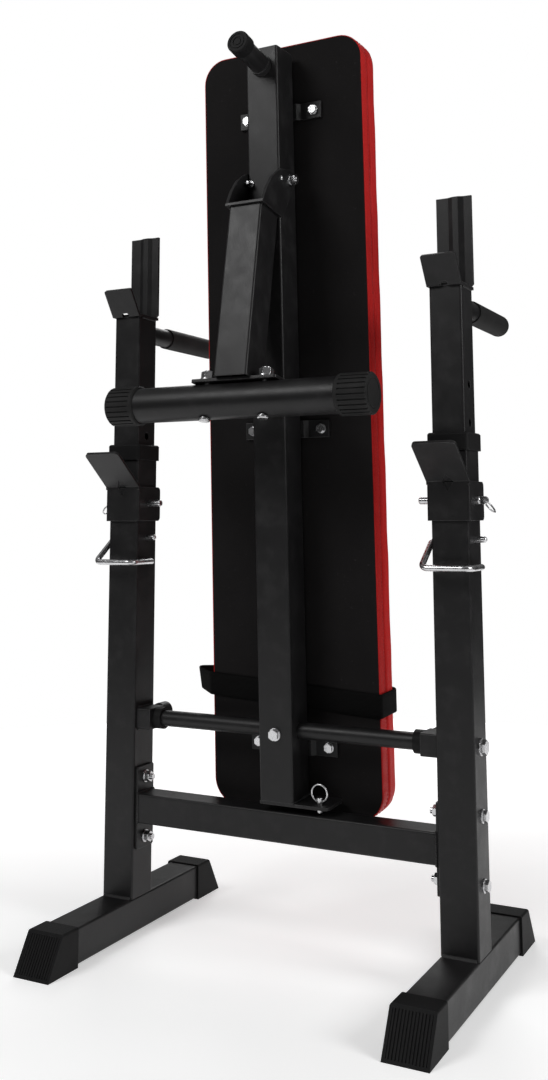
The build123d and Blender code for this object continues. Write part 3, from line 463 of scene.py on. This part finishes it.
def pad_outline(grow, side_step=0.02):
    """Return points (x, s) round the pad's rounded outline, anticlockwise, grown by a distance."""
    points = []
    radius = PAD_CORNER + grow
    left, right = PAD_LOW[0] + PAD_CORNER, PAD_HIGH[0] - PAD_CORNER
    bottom, top = PAD_LOW[1] + PAD_CORNER, PAD_HIGH[1] - PAD_CORNER
    for x, s, start in ((right, bottom, -90), (right, top, 0), (left, top, 90), (left, bottom, 180)):
        for step in range(ARC_STEPS + 1):
            angle = math.radians(start + 90 * step / ARC_STEPS)
            points.append((x + radius * math.cos(angle), s + radius * math.sin(angle)))
    dense = []
    for first, second in zip(points, points[1:] + points[:1]):
        count = max(1, round(math.dist(first, second) / side_step))
        for step in range(count):
            part = step / count
            x = first[0] + (second[0] - first[0]) * part
            s = first[1] + (second[1] - first[1]) * part
            dense.append((x, s))
    return dense


def outline_ring(bm, n, grow, **settings):
    """Add a ring of vertices round the pad at a depth, grown by a distance."""
    return [bm.verts.new(bench_point(x, s, n)) for x, s in pad_outline(grow, **settings)]


def capped(move, cap):
    """Return a move in the same direction that never gets longer than a cap."""
    if move.length == 0:
        return move
    return move.normalized() * cap * math.tanh(move.length / cap)


def swell(obj, crown, pull, pressure=4.0, frames=20):
    """Blow the mesh up with cloth pressure, capping how far it crowns and its sides pull in."""
    rest = [vertex.co.copy() for vertex in obj.data.vertices]
    cloth = obj.modifiers.new("Cloth", "CLOTH")
    cloth.settings.use_pressure = True
    cloth.settings.uniform_pressure_force = pressure
    cloth.settings.effector_weights.gravity = 0
    cloth.settings.vertex_group_mass = "held"
    cloth.point_cache.frame_start = 1
    cloth.point_cache.frame_end = frames
    for number in range(1, frames + 1):
        bpy.context.scene.frame_set(number)
    depsgraph = bpy.context.evaluated_depsgraph_get()
    blown = [vertex.co.copy() for vertex in obj.evaluated_get(depsgraph).data.vertices]
    obj.modifiers.clear()
    bpy.context.scene.frame_set(1)
    for vertex, start, end in zip(obj.data.vertices, rest, blown):
        depth = OUT * (end - start).dot(OUT)
        vertex.co = start + capped(depth, crown) + capped(end - start - depth, pull)


def pad_cushion():
    """Make the foam cushion under red vinyl, crowned by a short cloth simulation."""
    bm = bmesh.new()
    back = PAD_LOW[2] - PAD_EXTRA
    front = SEAM_N - SEAM_GROOVE
    profile = [
        (front, -0.0035),
        (front - 0.001, -0.001),
        (front - 0.004, 0.0),
        (back + PAD_EDGE, 0.0),
        (back + PAD_EDGE * 0.45, -PAD_EDGE * 0.18),
        (back + PAD_EDGE * 0.12, -PAD_EDGE * 0.5),
        (back, -PAD_EDGE),
    ]
    loops = [outline_ring(bm, n, grow + PAD_SIDE_PULL) for n, grow in profile]
    bridge(bm, loops)
    bm.faces.new(loops[0])
    bm.faces.new(list(reversed(loops[-1])))
    bmesh.ops.recalc_face_normals(bm, faces=bm.faces)
    pad = make_object("pad_cushion", bm, MATERIALS["red_vinyl"])
    remesh = pad.modifiers.new("Remesh", "REMESH")
    remesh.mode = "VOXEL"
    remesh.voxel_size = VOXEL
    apply_modifiers(pad)
    held = pad.vertex_groups.new(name="held")
    for vertex in pad.data.vertices:
        if depth_of(vertex.co) > front - PAD_HELD:
            held.add([vertex.index], 1.0, "REPLACE")
    swell(pad, PAD_SWELL, PAD_SIDE_PULL)
    smooth = pad.modifiers.new("Smooth", "SMOOTH")
    smooth.iterations = 2
    smooth.factor = 0.5
    subdivide = pad.modifiers.new("Subdivision", "SUBSURF")
    subdivide.levels = 1
    subdivide.render_levels = 1
    apply_modifiers(pad)
    for vertex in pad.data.vertices:
        on_side = depth_of(vertex.co) > PAD_LOW[2] + 0.012
        ripple = noise.noise(vertex.co * 26.0) + 0.5 * noise.noise(vertex.co * 61.0)
        outwards = (vertex.co - bench_point(0, height_of(vertex.co), PAD_CORE_N)).normalized()
        vertex.co += outwards * ripple * PAD_RIPPLE * (1.0 if on_side else 0.35)
    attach(pad, "bench")
    return pad


def pad_wrap():
    """Make the vinyl band that wraps the board's edge and tucks into the seam behind it."""
    bm = bmesh.new()
    front = BOARD_FRONT_N
    back = SEAM_N + SEAM_GROOVE
    profile = [
        (back - WRAP_TUCK, -0.0048),
        (back - WRAP_TUCK, -0.0030),
        (back - 0.0030, -0.0022),
        (back - 0.0008, -0.0015),
        (back, -0.0006),
        (back + 0.0012, 0.0),
        (front - 0.0012, 0.0),
        (front - 0.0004, -0.0002),
        (front, -0.0005),
        (front, -WRAP_LIP),
        (back + 0.0015, -WRAP_LIP),
    ]
    loops = [outline_ring(bm, n, grow, side_step=0.008) for n, grow in profile]
    bridge(bm, loops, closed_profile=True)
    bmesh.ops.recalc_face_normals(bm, faces=bm.faces)
    wrap = make_object("pad_wrap", bm, MATERIALS["red_vinyl"])
    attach(wrap, "bench")


def seam_stitches():
    """Make the row of stitches that closes the cover beside the seam."""
    bm = bmesh.new()
    outline = pad_outline(0.0002, side_step=STITCH_PITCH)
    for first, second in zip(outline, outline[1:] + outline[:1]):
        start = bench_point(*first, SEAM_N + STITCH_BESIDE_SEAM)
        end = bench_point(*second, SEAM_N + STITCH_BESIDE_SEAM)
        if (end - start).length < STITCH_LENGTH:
            continue
        move = Matrix.Translation((start + end) / 2)
        turn = (end - start).normalized().to_track_quat("Z", "Y").to_matrix().to_4x4()
        stretch = Matrix.Diagonal((1, 1, STITCH_LENGTH / STITCH_RADIUS / 2, 1))
        matrix = move @ turn @ stretch
        bmesh.ops.create_uvsphere(bm, u_segments=6, v_segments=4, radius=STITCH_RADIUS, matrix=matrix)
    stitches = make_object("seam_stitches", bm, THREAD)
    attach(stitches, "bench")


# ---------------------------------------------------------------- strap


def strap_path(cushion):
    """Return the strap's closed route round the bench as smooth points (x, n)."""
    low, high = bench_box("strap")
    places = [vertex.co for vertex in cushion.data.vertices]
    deepest = min(depth_of(place) for place in places if low[1] < height_of(place) < high[1])
    clear = STRAP_THICKNESS / 2 + STRAP_CLEARANCE
    right = PAD_HIGH[0] + clear
    front = BOARD_FRONT_N + clear
    back = deepest - clear
    bulge = low[0] + STRAP_THICKNESS / 2
    # each corner is (x, n, bend radius)
    corners = [
        (right, front, 0.003),
        (right, back, 0.010),
        (-right, back, 0.010),
        (bulge, (front + back) / 2, 0.006),
        (-right - 0.002, front, 0.008),
    ]
    points = []
    count = len(corners)
    for i in range(count):
        here = Vector(corners[i][:2])
        before = (Vector(corners[i - 1][:2]) - here).normalized()
        after = (Vector(corners[(i + 1) % count][:2]) - here).normalized()
        radius = corners[i][2]
        half = before.angle(after) / 2
        reach = radius / math.tan(half)
        start = here + before * reach
        end = here + after * reach
        centre = here + (before + after).normalized() * radius / math.sin(half)
        for step in range(BEND_STEPS + 1):
            part = start.lerp(end, step / BEND_STEPS) - centre
            points.append(centre + part.normalized() * radius)
    dense = []
    for first, second in zip(points, points[1:] + points[:1]):
        count = max(1, round((second - first).length / STRAP_STEP))
        for step in range(count):
            dense.append(first.lerp(second, step / count))
    return dense


def strap(cushion):
    """Make the webbing strap with rolled edges and a slack left side."""
    low, high = bench_box("strap")
    path = strap_path(cushion)
    count = len(path)
    lengths = [0.0]
    for first, second in zip(path, path[1:] + path[:1]):
        lengths.append(lengths[-1] + (second - first).length)
    half = STRAP_WIDTH / 2
    rim = STRAP_THICKNESS / 2
    # each point is (along the spine, out of the strap)
    section = [
        (-half, 0),
        (-half + STRAP_RIM, rim),
        (-half / 2, rim * 1.08),
        (0, rim),
        (half / 2, rim * 1.08),
        (half - STRAP_RIM, rim),
        (half, 0),
        (half - STRAP_RIM, -rim),
        (0, -rim),
        (-half + STRAP_RIM, -rim),
    ]
    slope = ((high[1] - low[1]) - STRAP_WIDTH) / (high[0] - low[0])
    bm = bmesh.new()
    uv_layer = bm.loops.layers.uv.new("webbing")
    rings = []
    for i, point in enumerate(path):
        tangent = (path[(i + 1) % count] - path[i - 1]).normalized()
        normal = Vector((-tangent.y, tangent.x))
        middle = high[1] - half - slope * (point.x - low[0])
        sag = STRAP_SAG * noise.noise(Vector((point.x * 14.0, point.y * 14.0, 3.0)))
        slack = max(0.0, -point.x - PAD_HIGH[0]) / 0.03
        ring = []
        for along, out in section:
            twist = slack * along * 0.10
            place = point + normal * (out + twist)
            ring.append(bm.verts.new(bench_point(place.x, middle + along + sag, place.y)))
        rings.append(ring)
    for i in range(count):
        ring = rings[i]
        following = rings[(i + 1) % count]
        for k in range(len(section)):
            m = (k + 1) % len(section)
            face = bm.faces.new((ring[k], following[k], following[m], ring[m]))
            here, ahead = lengths[i : i + 2]
            for loop, (run, step) in zip(face.loops, ((here, k), (ahead, k), (ahead, m), (here, m))):
                loop[uv_layer].uv = (section[step][0], run)
    bmesh.ops.recalc_face_normals(bm, faces=bm.faces)
    piece = make_object("strap_webbing", bm, MATERIALS["black_webbing"])
    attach(piece, "bench")
    return piece


# ---------------------------------------------------------------- weld beads


def bead(name, corners, body, closed=True):
    """Make a rippled weld bead along straight runs between corner points."""
    random.seed(name)
    bm = bmesh.new()
    route = corners + corners[:1] if closed else corners
    for first, second in zip(route, route[1:]):
        run = second - first
        count = max(1, round(run.length / WELD_PITCH))
        for step in range(count):
            centre = first + run * ((step + 0.5) / count)
            size = WELD_RADIUS * random.uniform(0.88, 1.08)
            jitter = Vector([random.uniform(-0.15, 0.15) for _ in range(3)]) * WELD_RADIUS
            matrix = Matrix.Translation(centre + jitter) @ Matrix.Diagonal((size, size, size, 1))
            bmesh.ops.create_icosphere(bm, subdivisions=1, radius=1.0, matrix=matrix)
    piece = make_object(name, bm, MATERIALS["black_steel"])
    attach(piece, body)


def ring_points(centre, normal, radius, count=24):
    """Return points round a circle."""
    turn = normal.to_track_quat("Z", "Y")
    steps = [math.tau * i / count for i in range(count)]
    return [centre + turn @ Vector((math.cos(a), math.sin(a), 0)) * radius for a in steps]


def weld_beads():
    """Lay the visible welds of the rack, posts and bench."""
    inset = WELD_RADIUS * 0.35
    for hand in "lr":
        post_low, post_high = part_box(f"post_tube_{hand}")
        top = post_high.z - inset
        for x in (post_low.x, post_high.x):
            ends = [Vector((x, y, top)) for y in (post_low.y + 0.006, post_high.y - 0.006)]
            side = "inner" if abs(x) < abs(post_low.x + post_high.x) / 2 else "outer"
            bead(f"weld_cradle_{hand}_{side}", ends, f"post_{hand}", closed=False)
        stub_low, stub_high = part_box(f"handle_stub_{hand}")
        centre = Vector(((stub_low.x + stub_high.x) / 2, stub_low.y, (stub_low.z + stub_high.z) / 2))
        radius = (stub_high.x - stub_low.x) / 2
        bead(f"weld_handle_{hand}", ring_points(centre, Vector((0, 1, 0)), radius), f"post_{hand}")
        block_low, block_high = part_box(f"rod_block_{hand}")
        wall = block_low.x if hand == "l" else block_high.x
        for z in (block_low.z, block_high.z):
            ends = [Vector((wall, y, z)) for y in (block_low.y + 0.003, block_high.y - 0.003)]
            place = "top" if z == block_high.z else "bottom"
            bead(f"weld_block_{hand}_{place}", ends, "rack", closed=False)
        plate_low, plate_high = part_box(f"beam_plate_{hand}")
        beam_low, beam_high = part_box("crossbeam")
        inner = plate_high.x if hand == "l" else plate_low.x
        corners = [
            Vector((inner, beam_low.y, beam_low.z)),
            Vector((inner, beam_high.y, beam_low.z)),
            Vector((inner, beam_high.y, beam_high.z)),
            Vector((inner, beam_low.y, beam_high.z)),
        ]
        bead(f"weld_beam_{hand}", corners, "rack")
    low, high = bench_box("spine")
    ends = [bench_point(high[0], low[1] + inset, n) for n in (low[2], high[2])]
    bead("weld_lock_tab", ends, "bench", closed=False)


# ---------------------------------------------------------------- studio


def studio_world():
    """Light the scene from above, fading to dark walls, while the background stays white."""
    world = bpy.data.worlds.new("studio_world")
    bpy.context.scene.world = world
    world.use_nodes = True
    tree = world.node_tree
    background = tree.nodes["Background"]
    background.inputs["Color"].default_value = (1, 1, 1, 1)
    place = tree.nodes.new("ShaderNodeTexCoord")
    split = tree.nodes.new("ShaderNodeSeparateXYZ")
    tree.links.new(place.outputs["Generated"], split.inputs["Vector"])
    height = tree.nodes.new("ShaderNodeMapRange")
    height.inputs["From Min"].default_value = 0.0
    height.inputs["From Max"].default_value = 1.0
    height.inputs["To Min"].default_value = WALL_LIGHT
    height.inputs["To Max"].default_value = CEILING_LIGHT
    tree.links.new(split.outputs["Z"], height.inputs["Value"])
    seen = tree.nodes.new("ShaderNodeLightPath")
    mix = tree.nodes.new("ShaderNodeMix")
    tree.links.new(seen.outputs["Is Camera Ray"], mix.inputs["Factor"])
    tree.links.new(height.outputs["Result"], mix.inputs["A"])
    mix.inputs["B"].default_value = 1.0
    tree.links.new(mix.outputs["Result"], background.inputs["Strength"])


def softbox(name, place, target, size, power):
    """Add one square area light aimed at a point."""
    data = bpy.data.lights.new(name, "AREA")
    data.shape = "SQUARE"
    data.size = size
    data.energy = power
    lamp = bpy.data.objects.new(name, data)
    lamp.location = place
    lamp.visible_camera = False
    lamp.rotation_euler = (Vector(target) - Vector(place)).to_track_quat("-Z", "Y").to_euler()
    bpy.context.scene.collection.objects.link(lamp)


def studio():
    """Add the pale floor, the soft lights and the world."""
    bm = bmesh.new()
    bmesh.ops.create_circle(bm, cap_ends=True, segments=96, radius=FLOOR_RADIUS)
    floor = make_object("studio_floor", bm, pale_floor(), smooth=False)
    studio_world()
    for values in SOFTBOXES:
        softbox(*values)
    bpy.context.scene.view_settings.view_transform = "Standard"


def camera():
    """Place the camera low on the right, looking slightly up."""
    data = bpy.data.cameras.new("camera")
    data.sensor_fit = "VERTICAL"
    data.sensor_height = CAMERA_SENSOR
    data.lens = CAMERA_LENS
    data.shift_x, data.shift_y = CAMERA_SHIFT
    data.clip_start = 0.05
    eye = bpy.data.objects.new("camera", data)
    turn = Matrix.Rotation(CAMERA_YAW, 4, "Z")
    turn @= Matrix.Rotation(math.pi / 2 + CAMERA_PITCH, 4, "X")
    turn @= Matrix.Rotation(CAMERA_ROLL, 4, "Z")
    eye.matrix_world = Matrix.Translation(CAMERA_PLACE) @ turn
    bpy.context.scene.collection.objects.link(eye)
    bpy.context.scene.camera = eye


# ---------------------------------------------------------------- build

dress_cad_nodes()
cushion = pad_cushion()
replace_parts(cushion, "pad")
pad_wrap()
seam_stitches()
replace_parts(strap(cushion), "strap")
weld_beads()
studio()
camera()
